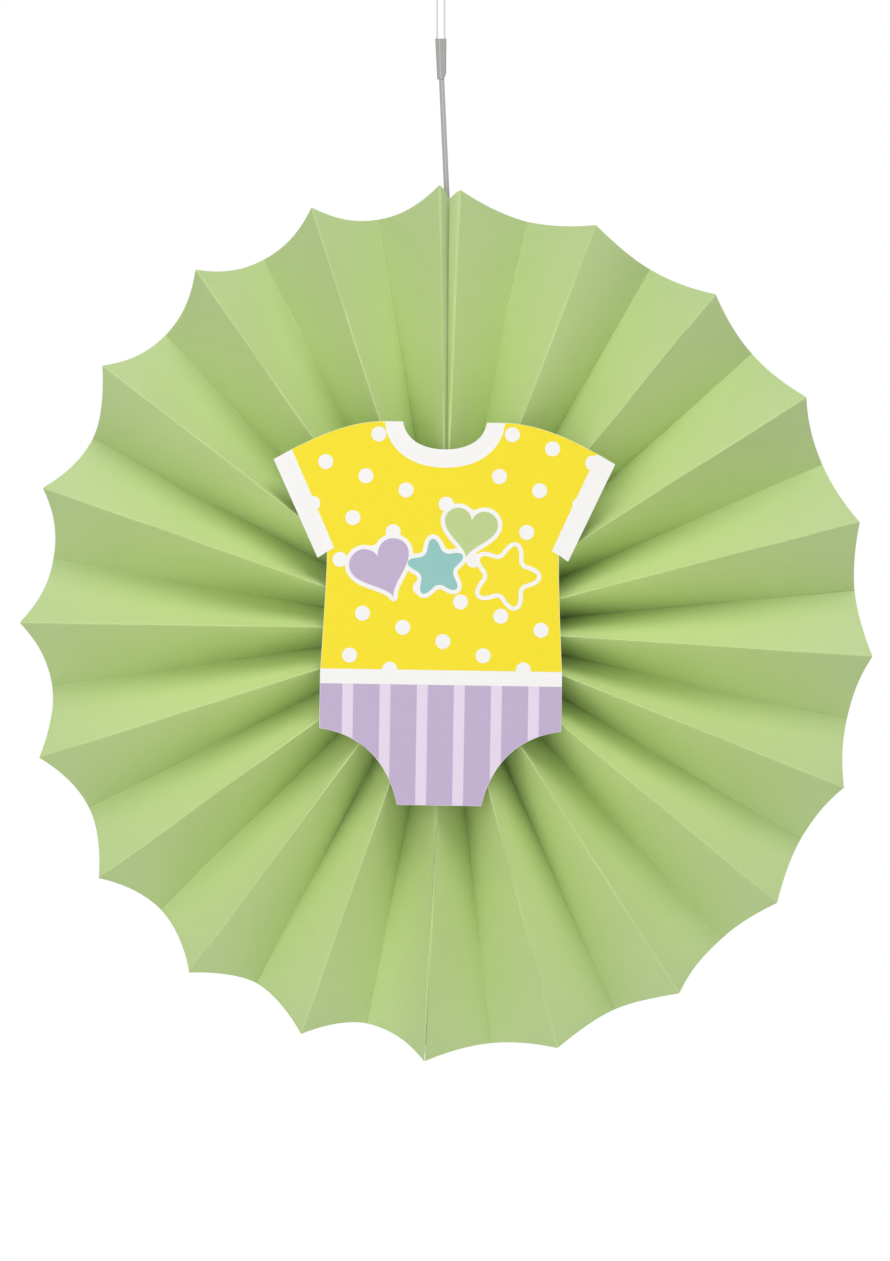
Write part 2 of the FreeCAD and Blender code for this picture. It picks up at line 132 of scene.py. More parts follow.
class PrintColours(bpy.types.PropertyGroup):
    white: colour("White", "Unprinted card", (0.93, 0.92, 0.90))
    yellow: colour("Yellow", "Body of the vest", (0.94, 0.77, 0.022))
    lilac: colour("Lilac", "Shorts of the vest", (0.545, 0.435, 0.635))
    stripe: colour("Stripe", "Pale stripes of the shorts", (0.80, 0.70, 0.845))
    teal: colour("Teal", "Teal motif", (0.29, 0.575, 0.535))
    leaf: colour("Leaf", "Green motif", (0.52, 0.645, 0.27))
    dot_radius: length("Dot radius", "Radius of the printed dots", 0.0035)
    film: length("Film", "Thickness of one layer of ink", 0.00004)


class HangerColours(bpy.types.PropertyGroup):
    grey: colour("Grey", "Strap and crimp", (0.335, 0.328, 0.318))
    # This pale grey lightens the weave, and paints a highlight line down strap and sleeve.
    weave_and_highlight_grey: colour("Pale grey", "Weave of the strap, and its painted highlight line", (0.52, 0.51, 0.50))
    thread: colour("Thread", "Clear thread", (0.66, 0.67, 0.68))
    deep_thread: colour("Deep thread", "Streaks in the clear thread", (0.58, 0.59, 0.60))
    thread_diameter: length("Thread diameter", "Thickness of the clear thread", 0.0007)


class StageSettings(bpy.types.PropertyGroup):
    distance: length("Distance", "Camera to the ridge tips", 2.0)
    frame_height: length("Frame height", "Height of the view at the ridge tips", 0.5927)
    floor_drop: length("Floor drop", "Fan's centre above the floor", 0.46)
    key_power: power("Key power", "Main lamp", 21.8)
    fill_power: power("Fill power", "Lamp from the front", 7.1)
    back_power: power("Back power", "Lamp behind", 15.0)
    sky_level: level("Sky level", "Even light from all round", 0.385)


def settings(context, name):
    return getattr(context.scene, "rosette_" + name)


# Shader nodes


class Wire:
    """A socket that takes part in sums, so that shader maths reads as Python."""

    def __init__(self, nodes, socket):
        self.nodes = nodes
        self.socket = socket

    def join(self, operation, first, second):
        return self.nodes.add("Math", {"operation": operation}, {0: first, 1: second})

    def __add__(self, other):
        return self.join("ADD", self, other)

    def __radd__(self, other):
        return self.join("ADD", other, self)

    def __sub__(self, other):
        return self.join("SUBTRACT", self, other)

    def __rsub__(self, other):
        return self.join("SUBTRACT", other, self)

    def __mul__(self, other):
        return self.join("MULTIPLY", self, other)

    def __rmul__(self, other):
        return self.join("MULTIPLY", other, self)


class Nodes:
    """A cleared node tree whose nodes are added one by one."""

    def __init__(self, tree):
        self.tree = tree
        self.tree.nodes.clear()

    def add(self, kind, options=None, inputs=None, output=0):
        node = self.tree.nodes.new("ShaderNode" + kind)
        for key, value in (options or {}).items():
            setattr(node, key, value)
        for key, value in (inputs or {}).items():
            if isinstance(value, Wire):
                self.tree.links.new(value.socket, node.inputs[key])
            else:
                node.inputs[key].default_value = value
        return Wire(self, node.outputs[output]) if node.outputs else None

    def end(self, kind, shader):
        self.add("Output" + kind, {}, {"Surface": shader})


class Finish(Nodes):
    """The nodes of a new material."""

    def __init__(self, name):
        self.material = bpy.data.materials.new(name)
        self.material.use_nodes = True
        super().__init__(self.material.node_tree)

    def place(self):
        return self.add("TexCoord", output="Object")

    def noise(self, scale, detail=2.0):
        inputs = {"Scale": scale, "Detail": detail, "Vector": self.place()}
        return self.add("TexNoise", {}, inputs)

    def blend(self, factor, first, second):
        inputs = {0: factor, 6: self.rgba(first), 7: self.rgba(second)}
        return self.add("Mix", {"data_type": "RGBA"}, inputs, 2)

    def rgba(self, value):
        return value if isinstance(value, Wire) else tuple(value) + (1.0,)

    def bump(self, height, distance, strength):
        inputs = {"Height": height, "Distance": distance, "Strength": strength}
        return self.add("Bump", {}, inputs)

    def surface(self, inputs):
        self.end("Material", self.add("BsdfPrincipled", {}, inputs))
        return self.material


def deeper(rgb, share):
    """A colour brought down to a share of itself."""
    return tuple(value * share for value in rgb)


def dress(name, material):
    """Gives one of the frame's solids its finish."""
    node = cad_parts[name]
    node.data.materials.clear()
    node.data.materials.append(material)


# Geometry helpers


def mesh_piece(name, vertices, faces, materials, smooth=True):
    mesh = bpy.data.meshes.new(name)
    mesh.from_pydata([tuple(v) for v in vertices], [], faces)
    for material in materials:
        mesh.materials.append(material)
    mesh.validate()
    if smooth:
        mesh.shade_smooth()
    else:
        mesh.shade_flat()
    piece = bpy.data.objects.new(name, mesh)
    bpy.context.scene.collection.objects.link(piece)
    return piece


def bezier(poles, count):
    """Points on a quadratic or cubic curve, the last one left out."""
    degree = len(poles) - 1
    points = []
    for n in range(count):
        t = n / count
        weights = [math.comb(degree, k) * (1 - t) ** (degree - k) * t ** k for k in range(degree + 1)]
        x = sum(weight * pole[0] for weight, pole in zip(weights, poles))
        z = sum(weight * pole[1] for weight, pole in zip(weights, poles))
        points.append((x, z))
    return points


# The folded paper

# Each sheet runs from the seam at the top down its own side, clockwise where turn is 1.
# splay: the seam ridge's distance from the seam's plane at the rim
# reach: how far the side tips stand out past the fan's radius
# top_stretch, bottom_stretch: how far the top and bottom tips stand out more than that
# seam_lift: how far the tip at the seam stands out more than the other top ones
# crowding, bulge: how the folds gather toward the top, and lean down at the side
# flap_shifts: the flap's free edge at the rim, and its tucked strip's, past the glue
SHEETS = {
    "left": {
        "turn": -1,
        "seed": 5,
        "splay": 0.0034,
        "reach": -0.0005,
        "top_stretch": 0.010,
        "bottom_stretch": 0.0017,
        "seam_lift": 0.0,
        "crowding": 0.05,
        "bulge": 0.0,
        "flap_shifts": (0.0005, -0.0015),
    },
    "right": {
        "turn": 1,
        "seed": 11,
        "splay": 0.0052,
        "reach": 0.0012,
        "top_stretch": 0.0028,
        "bottom_stretch": 0.0020,
        "seam_lift": 0.0034,
        "crowding": 0.0,
        "bulge": 0.0066,
        "flap_shifts": (0.0006,),
    },
}

# A fold's crest, in shares of the folded thickness, and how much its edges are rounded
CREST_HALF = 0.15
GLUED_CREST_SHIFT = 0.14
CREST_ROUNDING = 0.00008
TIP_WOBBLE = 0.0003

# How fast a panel's bow grows outward, and the paper's own fine waves
BOW_RISE = 2.5
RIPPLE = 0.0007
RIPPLES_PER_METRE = 26.0

# Where the mesh has points: along a fold, across a panel and across a flap
HUB_ROWS = (0.0, 0.35, 0.7)
RIM_ROWS = tuple(n / 26 for n in range(27))
PANEL_COLUMNS = (0.015, 0.045, 0.1, 0.18, 0.28, 0.39, 0.5, 0.61, 0.72, 0.82, 0.9, 0.955, 0.985)
FLAP_COLUMNS = (0.0, 0.25, 0.5, 0.75)


class Pleating:
    """Where the paper of one sheet lies, worked out fold by fold."""

    def __init__(self, sizes, name):
        self.sizes = sizes
        self.side = SHEETS[name]
        self.turn = self.side["turn"]
        self.steps = 2 * sizes.pleats
        self.fold = 2 * sizes.paper + sizes.fold_slack
        self.run = sizes.fan_radius - sizes.level_radius
        self.span = sizes.joint_angle - sizes.seam_angle
        if self.turn < 0:
            self.span = 2 * math.pi + sizes.seam_angle - sizes.joint_angle
        self.drop = getattr(sizes, name + "_drop")
        chance = random.Random(self.side["seed"])
        self.bows = [chance.uniform(-1, 1) for step in range(self.steps + 1)]
        self.tips = [chance.uniform(-1, 1) for step in range(self.steps + 1)]
        self.hub_depth = self.half_depth(sizes.level_radius)
        self.rim_depth = self.half_depth(sizes.fan_radius)

    def half_depth(self, radius):
        opening = 2 * radius * math.sin(math.pi / (2 * self.steps)) - self.fold
        return math.sqrt(self.sizes.pleat_width ** 2 - opening ** 2) / 2

    def point(self, radius, angle, sideways, depth):
        x = radius * math.sin(angle) + sideways * math.cos(angle)
        z = radius * math.cos(angle) - sideways * math.sin(angle)
        return Vector((FAN_CENTRE.x + x, depth, FAN_CENTRE.z + z))

    def spread(self, step):
        """A fold's share of the way from the seam to the glued ridge."""
        share = step / self.steps
        gathered = self.side["crowding"] * math.sin(2 * math.pi * share) / (2 * math.pi)
        return share - gathered + self.side["bulge"] * math.sin(math.pi * share)

    def station(self, number):
        """Radius, half depth, opening and end angles at the hub, the level ring or the tips."""
        sizes = self.sizes
        radius = (sizes.hub_radius, sizes.level_radius, sizes.fan_radius)[number]
        depth = (self.hub_depth, self.hub_depth, self.rim_depth)[number]
        opened = (0.0, 0.0, 1.0)[number]
        crest = sizes.adhesive / 2 + self.fold / 2
        first = (crest + self.side["splay"] * opened) / radius
        last = self.span - crest / radius
        return radius, depth, opened, first, last

    def tip(self, from_seam, step):
        """How far from the middle a fold ends."""
        if step == self.steps:
            return self.sizes.fan_radius + self.sizes.joint_stretch
        upright = math.cos(self.sizes.seam_angle + self.turn * from_seam)
        stretch = self.side["top_stretch" if upright > 0 else "bottom_stretch"]
        lift = self.side["seam_lift"] if step == 0 else 0.0
        radius = self.sizes.fan_radius + self.side["reach"]
        return radius + stretch * upright ** 2 + lift + TIP_WOBBLE * self.tips[step]

    def fold_line(self, step, edge):
        """One edge of a fold's crest at the hub, the level ring and the tip."""
        shift = GLUED_CREST_SHIFT if step == self.steps else 0.0
        sideways = self.turn * self.fold * (edge * CREST_HALF + shift)
        points = []
        for number in range(3):
            radius, depth, opened, first, last = self.station(number)
            from_seam = first + (last - first) * self.spread(step)
            if number == 2:
                radius = self.tip(from_seam, step)
            depth -= self.sizes.paper / 2 + (CREST_ROUNDING if edge else 0.0)
            if step % 2 == 0:
                depth = -depth
            angle = self.sizes.seam_angle + self.turn * from_seam
            points.append(self.point(radius, angle, sideways, depth))
        return points

    def flap_shifts(self, at_seam):
        return self.side["flap_shifts"] if at_seam else (0.0,)

    def flap_line(self, at_seam, line):
        """A line of an end flap, counted from its crest to its free edge."""
        sizes = self.sizes
        flaps = list(zip(self.flap_shifts(at_seam), (sizes.flap_width, sizes.tuck_width)))
        step = 0 if at_seam else self.steps
        angle = sizes.seam_angle if at_seam else sizes.joint_angle
        inward = self.turn if at_seam else -self.turn
        points = []
        for number in range(3):
            radius, depth, opened, first, last = self.station(number)
            if number == 2:
                radius = self.tip(first + (last - first) * self.spread(step), step)
            apart = sizes.adhesive / 2 + (self.side["splay"] * opened if at_seam else 0.0)
            deep = -depth
            for shift, width in flaps[:line]:
                nearer = sizes.adhesive / 2 + shift * opened
                deep += math.sqrt(width ** 2 - (apart - nearer) ** 2)
                apart = nearer
            points.append(self.point(radius, angle, inward * (apart + sizes.paper / 2), deep))
        return points

    def scallop(self, from_ridge):
        """How far the rim is cut back, a share of a panel's width away from its ridge."""
        width, drop = self.sizes.pleat_width, self.drop
        arc = (drop ** 2 + width ** 2) / (2 * drop)
        low = math.sqrt(arc ** 2 - width ** 2)
        return math.sqrt(arc ** 2 - (width * (1 - from_ridge)) ** 2) - low


def column(first, second, share, drop, run):
    """Points from the hub to the cut edge, a share of the way between two lines."""
    points = []
    for row in HUB_ROWS:
        a = first[0].lerp(first[1], row)
        b = second[0].lerp(second[1], row)
        points.append(a.lerp(b, share))
    reach = 1 - drop / run
    for row in RIM_ROWS:
        a = first[1].lerp(first[2], row * reach)
        b = second[1].lerp(second[2], row * reach)
        points.append(a.lerp(b, share))
    return points


def flap_columns(plan, at_seam):
    """Columns of an end flap, from its free edge to its crest."""
    widths = (plan.sizes.flap_width, plan.sizes.tuck_width)
    lines = range(len(plan.flap_shifts(at_seam)), -1, -1)
    rails = [plan.flap_line(at_seam, line) for line in lines]
    drops = [plan.sizes.flap_cut * sum(widths[:line]) for line in lines]
    made = []
    for n in range(len(rails) - 1):
        for share in FLAP_COLUMNS:
            drop = drops[n] + (drops[n + 1] - drops[n]) * share
            made.append(column(rails[n], rails[n + 1], share, drop, plan.run))
    return made


def sheet_columns(plan):
    """All columns of a sheet in order: their points, their ridge mark, partly rubbed paper and partly
    painted highlight, and share of a bow.
    """
    made = [(points, 0.0, 0.0) for points in flap_columns(plan, True)]
    for step in range(plan.steps + 1):
        ridge = step % 2 == 0
        for edge in (-1, 0, 1):
            line = plan.fold_line(step, edge)
            points = column(line, line, 0.0, 0.0 if ridge else plan.drop, plan.run)
            # Ridges get a mark that is partly rubbed paper and partly painted highlight; valleys get
            # none.
            made.append((points, 1.0 if ridge else 0.0, 0.0))
        if step == plan.steps:
            break
        near, far = plan.fold_line(step, 1), plan.fold_line(step + 1, -1)
        for share in PANEL_COLUMNS:
            from_ridge = share if ridge else 1 - share
            points = column(near, far, share, plan.scallop(from_ridge), plan.run)
            made.append((points, 0.0, plan.bows[step] * math.sin(math.pi * share)))
    made += [(points, 0.0, 0.0) for points in reversed(flap_columns(plan, False))]
    return zip(*made)


def bowed(columns, bows, sizes, seed):
    """Moves each panel a little out of true, as handled paper lies."""
    moved = [list(points) for points in columns]
    rows = len(columns[0])
    for i in range(1, len(columns) - 1):
        for j in range(rows):
            across = columns[i + 1][j] - columns[i - 1][j]
            along = columns[i][min(j + 1, rows - 1)] - columns[i][max(j - 1, 0)]
            normal = across.cross(along)
            if normal.length < 1e-12:
                continue
            out = j / (rows - 1)
            place = columns[i][j] * RIPPLES_PER_METRE + Vector((seed, 0, 0))
            ripple = RIPPLE * noise.noise(place) * out
            amount = sizes.bow * bows[i] * min(1.0, out * BOW_RISE) + ripple
            moved[i][j] = columns[i][j] + normal.normalized() * amount
    return moved


# The paper's finish uses this share to paint the paper lighter toward the middle, as painted light.
def reach_of(point, sizes):
    """How far out a point lies: none at the level ring, one at the ridge tips."""
    out = math.hypot(point[0] - FAN_CENTRE.x, point[2] - FAN_CENTRE.z)
    return max(0.0, (out - sizes.level_radius) / (sizes.fan_radius - sizes.level_radius))


def paper_finish(colours):
    """Dyed paper: cloudy dye with fibres and specks, lighter toward the middle as painted light in
    the deep folds, and paler along each ridge, partly rubbed paper and partly a painted highlight.
    """
    finish = Finish("dyed green paper")
    fold = finish.add("Attribute", {"attribute_name": "fold_wear"}, output="Fac")
    reach = finish.add("Attribute", {"attribute_name": "reach"}, output="Fac")
    cloud = finish.noise(14.0, 3.0)
    fibre = finish.noise(900.0, 4.0)
    speckle = finish.noise(2600.0, 2.0)
    # Painted light: the paper is blended paler toward the middle, where the deep folds would be
    # darker; the mottling below is the dye's own.
    dye = finish.blend(reach, colours.inner_painted_light_green, colours.green)
    dye = finish.blend(cloud * 0.5, dye, colours.deep_green)
    dye = finish.blend(fibre * 0.10, dye, colours.pale_fibre_and_highlight)
    dye = finish.blend(speckle * 0.07, dye, colours.deep_green)
    return finish.surface({
        # Painted highlight along the ridges, patchy, partly rubbed paper.
        "Base Color": finish.blend(fold * (cloud * 0.5), dye, colours.pale_fibre_and_highlight),
        "Roughness": 0.46 + 0.1 * fibre,
        "Normal": finish.bump(fibre * 0.7 + speckle * 0.3, 0.00004, 0.5),
        "Specular IOR Level": 0.4,
        "Sheen Weight": 0.2,
        "Sheen Roughness": 0.5,
    })


def edge_finish(colours):
    """The cut edge, where the paper's fibres are open."""
    finish = Finish("cut paper edge")
    fibre = finish.noise(1800.0, 3.0)
    shade = finish.blend(fibre * 0.4, colours.cut_edge, colours.pale_fibre_and_highlight)
    return finish.surface({"Base Color": shade, "Roughness": 0.9, "Specular IOR Level": 0.2})


class FoldedPaper(bpy.types.Operator):
    """Makes the two pleated sheets with softened folds and gently bowed panels"""

    bl_idname = "rosette.folded_paper"
    bl_label = "Folded Paper"

    def execute(self, context):
        sizes = settings(context, "fan")
        colours = settings(context, "paper")
        materials = [paper_finish(colours), edge_finish(colours)]
        for name in SHEETS:
            self.sheet(sizes, name, materials)
        return {"FINISHED"}

    def sheet(self, sizes, name, materials):
        plan = Pleating(sizes, name)
        columns, wear_and_highlight, bows = sheet_columns(plan)
        columns = bowed(columns, bows, sizes, plan.side["seed"])
        rows = len(columns[0])
        vertices = [point for points in columns for point in points]
        faces = []
        for i in range(len(columns) - 1):
            for j in range(rows - 1):
                a = i * rows + j
                quad = (a, a + 1, a + rows + 1, a + rows)
                faces.append(quad if plan.turn > 0 else quad[::-1])
        piece = mesh_piece("fan_paper_" + name, vertices, faces, materials)
        self.note(piece, "fold_wear", [wear_and_highlight[n // rows] for n in range(len(vertices))])
        self.note(piece, "reach", [reach_of(point, sizes) for point in vertices])
        thick = piece.modifiers.new("paper thickness", "SOLIDIFY")
        thick.thickness = sizes.paper
        thick.offset = 0.0
        thick.material_offset_rim = 1
        crisp = piece.modifiers.new("flat panels", "WEIGHTED_NORMAL")
        crisp.weight = 90
        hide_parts("pleated_sheet_" + name)
        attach(piece, BODY)

    def note(self, piece, name, values):
        """Keeps a number for each point of the sheet, for its finish to read."""
        numbers = piece.data.attributes.new(name, "FLOAT", "POINT")
        numbers.data.foreach_set("value", values)


# The printed card

CARD_FRONT = CARD_BOX[0][1]
CARD_MIDDLE = (FAN_CENTRE.x - 0.0014, FAN_CENTRE.z + 0.0078)
CARD_TILT = math.radians(0.9)

# Lines of the card's right half, in millimetres from its middle
NECK_CURVE = ((0, 76.9), (9.8, 76.9), (18.3, 80.74), (19.6, 89.7))
SHOULDER_CURVE = ((28, 89.7), (45, 89.7), (62.9, 81.1), (79.9, 71.1))
SLEEVE_CORNER = (58.6, 25.3)
SIDE_CURVE = ((54.2, 28.3), (54.2, 14.15), (56.6, -28.0))
LEG_CURVE = ((56.6, -54.3), (36.6, -57.0), (24.2, -69.5), (19.7, -89.7))
FOOT = -89.7

# The yellow print: its white collar's width and top, its cuff and its hem
COLLAR_WIDTH = 8.4
COLLAR_TOP = (28.0, 89.5)
SHOULDER_END = 71.2
CUFF = ((71.7, 76.3), (51.1, 30.2), (54.2, 28.3))
SIDE_END = -26.0
HEM = ((56.5, -26.5), (0.0, -26.5))

# The shorts, and the stripes down them
SHORTS_TOP = ((0.0, -33.2), (56.6, -33.2))
STRIPE_MIDDLES = (-43.5, -26.05, -8.65, 8.65, 26.05, 43.5)
STRIPE_HALF = 2.55

# How far the yellow and the shorts keep from the lines above, for the cut's tolerance
PRINT_MARGIN = 0.12

# The dots: one of them, the steps along a row and to the next row, and how far the
# lower rows are set off
DOT_START = (-36.6, 64.0)
DOT_STEP = (18.9, -6.34)
ROW_STEP = (-5.76, -19.65)
LOW_ROW = 3
LOW_ROW_SHIFT = (-2.2, 1.0)

# Where no dot lies: near the card's edge, under the collar and below the vest
DOT_MARGIN = 0.4
UNDER_COLLAR_HALF = 20
UNDER_COLLAR_LOW = 66
LOWEST_DOT = -29.6

# Ink reaches this far into what it lies on, and each motif is this much thicker than
# the one before, so that no two faces fall together
INK_SINK = 0.00001
MOTIF_STEP = 0.000006

# A motif's white rim: its width, its thickness in layers, and the level of the motif on it
RIM_WIDTH = 2.0
RIM_LAYERS = 1.5
MOTIF_LEVEL = 2.6


def mirrored(points):
    """A right half, from the top middle to the bottom middle, and its mirror image."""
    return points + [(-x, z) for x, z in reversed(points) if x > 0.01]


def inset(points, amount):
    """The loop moved inwards by an amount, along the mean of its edges' normals."""
    count = len(points)
    area = sum(
        points[n][0] * points[(n + 1) % count][1] - points[(n + 1) % count][0] * points[n][1]
        for n in range(count)
    )
    sign = 1 if area > 0 else -1
    moved = []
    for n in range(count):
        before, here, after = points[n - 1], points[n], points[(n + 1) % count]
        a = Vector((here[0] - before[0], here[1] - before[1])).normalized()
        b = Vector((after[0] - here[0], after[1] - here[1])).normalized()
        normal = (Vector((-a.y, a.x)) + Vector((-b.y, b.x))) * sign
        normal.normalize()
        lean = max(0.5, abs(normal.dot(Vector((-b.y, b.x)))))
        moved.append((here[0] + normal.x * amount / lean, here[1] + normal.y * amount / lean))
    return moved


def grown(points, amount):
    """A clockwise loop, even about x = 0, moved outwards with its corners rounded."""
    kept = []
    for n, old in enumerate(points):
        before, after = points[n - 1], points[(n + 1) % len(points)]
        course = math.atan2(old[1] - before[1], old[0] - before[0])
        turn = math.atan2(after[1] - old[1], after[0] - old[0]) - course
        turn = (turn + math.pi) % (2 * math.pi) - math.pi
        count = max(1, round(-turn / 0.25))
        for k in range(count):
            outward = course + turn * (k + 0.5) / count + math.pi / 2
            new = (old[0] + amount * math.cos(outward), old[1] + amount * math.sin(outward))
            same_side = old[0] * new[0] > 0 or abs(old[0]) < 1e-6
            if same_side and min(math.dist(new, other) for other in points) > 0.96 * amount:
                kept.append(new)
    return kept


def clipped(points, keep_above, limit):
    """The part of a loop on one side of an upright line at x = limit."""
    kept = []
    for n in range(len(points)):
        a, b = points[n - 1], points[n]
        inside_a = (a[0] > limit) == keep_above
        inside_b = (b[0] > limit) == keep_above
        if inside_a != inside_b:
            share = (limit - a[0]) / (b[0] - a[0])
            kept.append((limit, a[1] + (b[1] - a[1]) * share))
        if inside_b:
            kept.append(b)
    return kept


def inside(point, loop):
    """Whether a point lies in a loop, by counting the edges to one side of it."""
    found = False
    for n in range(len(loop)):
        a, b = loop[n - 1], loop[n]
        if (a[1] > point[1]) != (b[1] > point[1]):
            if point[0] < a[0] + (b[0] - a[0]) * (point[1] - a[1]) / (b[1] - a[1]):
                found = not found
    return found


def whole(curve, count):
    """Points on a curve, the last one with them."""
    return bezier(curve, count) + [curve[-1]]


def card_outline():
    """The whole card, to find the dots that lie on it."""
    half = whole(NECK_CURVE, 14) + whole(SHOULDER_CURVE, 20) + [SLEEVE_CORNER]
    return mirrored(half + whole(SIDE_CURVE, 12) + whole(LEG_CURVE, 18) + [(0.0, FOOT)])


def yellow_outline():
    """The vest within its white collar and cuffs, down to its hem."""
    neck = whole(NECK_CURVE, 14)
    collar = []
    for n, (x, z) in enumerate(neck):
        before, after = neck[max(n - 1, 0)], neck[min(n + 1, len(neck) - 1)]
        along = Vector((after[0] - before[0], after[1] - before[1])).normalized()
        collar.append((x + along.y * COLLAR_WIDTH, z - along.x * COLLAR_WIDTH))
    collar[0] = (0.0, NECK_CURVE[0][1] - COLLAR_WIDTH)
    collar[-1] = COLLAR_TOP
    shoulder = [point for point in bezier(SHOULDER_CURVE, 28)[1:] if point[0] < SHOULDER_END]
    side = [point for point in bezier(SIDE_CURVE, 16)[1:] if point[1] > SIDE_END]
    return mirrored(collar + shoulder + list(CUFF) + side + list(HEM))


def shorts_outline():
    """The shorts, from the white waist to both feet."""
    return mirrored(list(SHORTS_TOP) + whole(LEG_CURVE, 18) + [(0.0, FOOT)])


def circle(x, z, radius, count=40):
    loop = []
    for n in range(count):
        angle = 2 * math.pi * n / count
        loop.append((x + radius * math.cos(angle), z + radius * math.sin(angle)))
    return loop


def dot_centres(radius):
    """Dots of a slanted square lattice that lie wholly on the card, above the shorts."""
    outline = card_outline()
    found = []
    for along in range(-6, 9):
        for row in range(-4, 7):
            shift = LOW_ROW_SHIFT if row >= LOW_ROW else (0.0, 0.0)
            x = DOT_START[0] + DOT_STEP[0] * along + ROW_STEP[0] * row + shift[0]
            z = DOT_START[1] + DOT_STEP[1] * along + ROW_STEP[1] * row + shift[1]
            if z <= LOWEST_DOT or (abs(x) < UNDER_COLLAR_HALF and z > UNDER_COLLAR_LOW):
                continue
            if all(inside(point, outline) for point in circle(x, z, radius + DOT_MARGIN, 16)):
                found.append((x, z))
    return found


def heart():
    """A heart about its middle, half as wide as a motif is sized."""
    loop = []
    for n in range(64):
        t = 2 * math.pi * n / 64
        u = math.sin(t) ** 3
        v = (13 * math.cos(t) - 5 * math.cos(2 * t) - 2 * math.cos(3 * t) - math.cos(4 * t)) / 16
        loop.append((u, v + 0.1))
    return loop


def star():
    """A soft star of five points about its middle."""
    loop = []
    for n in range(100):
        t = 2 * math.pi * n / 100
        reach = 0.74 + 0.2 * math.cos(5 * t) + 0.04 * math.cos(10 * t)
        loop.append((reach * math.sin(t), reach * math.cos(t)))
    return loop


def placed(loop, x, z, scale, tilt):
    """A loop made larger, tilted by degrees and moved to its place."""
    c, s = math.cos(math.radians(tilt)), math.sin(math.radians(tilt))
    return [(x + scale * (u * c - v * s), z + scale * (u * s + v * c)) for u, v in loop]


# Each motif's shape, middle, size in millimetres and tilt in degrees
MOTIFS = {
    "lilac": (heart, -28.0, 20.5, 29.0, 22),
    "teal": (star, -3.0, 21.5, 28.0, 8),
    "leaf": (heart, 12.5, 38.4, 25.0, -8),
    "yellow": (star, 29.5, 18.0, 30.0, -18),
}


def film(name, loops, level, thickness, material):
    """Flat closed layers of ink in front of the card, from loops in millimetres."""
    mesh = bpy.data.meshes.new(name)
    shape = bmesh.new()
    c, s = math.cos(CARD_TILT), math.sin(CARD_TILT)
    back = CARD_FRONT - level + INK_SINK
    for loop in loops:
        corners = []
        for x, z in loop:
            px = CARD_MIDDLE[0] + (x * c + z * s) / 1000
            pz = CARD_MIDDLE[1] + (-x * s + z * c) / 1000
            corners.append(shape.verts.new((px, back, pz)))
        face = shape.faces.new(corners)
        raised = bmesh.ops.extrude_face_region(shape, geom=[face])
        for item in raised["geom"]:
            if isinstance(item, bmesh.types.BMVert):
                item.co.y -= thickness + INK_SINK
    bmesh.ops.recalc_face_normals(shape, faces=shape.faces)
    bmesh.ops.triangulate(shape, faces=shape.faces, ngon_method="EAR_CLIP")
    shape.to_mesh(mesh)
    shape.free()
    mesh.materials.append(material)
    piece = bpy.data.objects.new(name, mesh)
    bpy.context.scene.collection.objects.link(piece)
    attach(piece, BODY)


def ink_finish(name, rgb):
    """Print on coated card: a slightly uneven lay of ink with a soft sheen."""
    finish = Finish(name)
    lay = finish.noise(240.0, 3.0)
    grain = finish.noise(1500.0, 2.0)
    return finish.surface({
        "Base Color": finish.blend(lay * 0.7 + grain * 0.3, rgb, deeper(rgb, 0.955)),
        "Roughness": 0.5 + 0.12 * grain,
        "Normal": finish.bump(grain, 0.000012, 0.5),
        "Specular IOR Level": 0.3,
    })


def card_finish(colours):
    """White coated card with a faint fibre."""
    finish = Finish("white card stock")
    fibre = finish.noise(1100.0, 3.0)
    return finish.surface({
        "Base Color": finish.blend(fibre, colours.white, deeper(colours.white, 0.965)),
        "Roughness": 0.5 + 0.15 * fibre,
        "Normal": finish.bump(fibre, 0.000015, 0.5),
        "Specular IOR Level": 0.3,
    })


class PrintedCard(bpy.types.Operator):
    """Finishes the card and lays its print on it: yellow vest, dots, shorts and motifs"""

    bl_idname = "rosette.printed_card"
    bl_label = "Printed Card"

    def execute(self, context):
        colours = settings(context, "print")
        ink = colours.film
        dress("vest_card", card_finish(colours))
        inks = {}
        for name in ("white", "yellow", "lilac", "stripe", "teal", "leaf"):
            label = "pale stripe ink" if name == "stripe" else name + " ink"
            inks[name] = ink_finish(label, getattr(colours, name))
        vest = inset(yellow_outline(), PRINT_MARGIN)
        film("print_vest", [vest], 0.0, ink, inks["yellow"])
        shorts = inset(shorts_outline(), PRINT_MARGIN)
        film("print_shorts", [shorts], 0.0, ink, inks["lilac"])
        stripes = []
        for x in STRIPE_MIDDLES:
            right_of = clipped(shorts, True, x - STRIPE_HALF)
            stripes.append(clipped(right_of, False, x + STRIPE_HALF))
        film("print_stripes", stripes, ink, ink, inks["stripe"])
        radius = colours.dot_radius * 1000
        dots = [circle(x, z, radius) for x, z in dot_centres(radius)]
        film("print_dots", dots, ink, ink, inks["white"])
        self.motifs(ink, inks)
        return {"FINISHED"}

    def motifs(self, ink, inks):
        for n, (name, (shape, x, z, size, tilt)) in enumerate(MOTIFS.items()):
            more = n * MOTIF_STEP
            scale = size / 2
            rim = placed(grown(shape(), RIM_WIDTH / scale), x, z, scale, tilt)
            loop = placed(shape(), x, z, scale, tilt)
            film("print_rim_" + name, [rim], ink, ink * RIM_LAYERS + more, inks["white"])
            film("print_motif_" + name, [loop], ink * MOTIF_LEVEL, ink + more, inks[name])


# Board, pads and glue


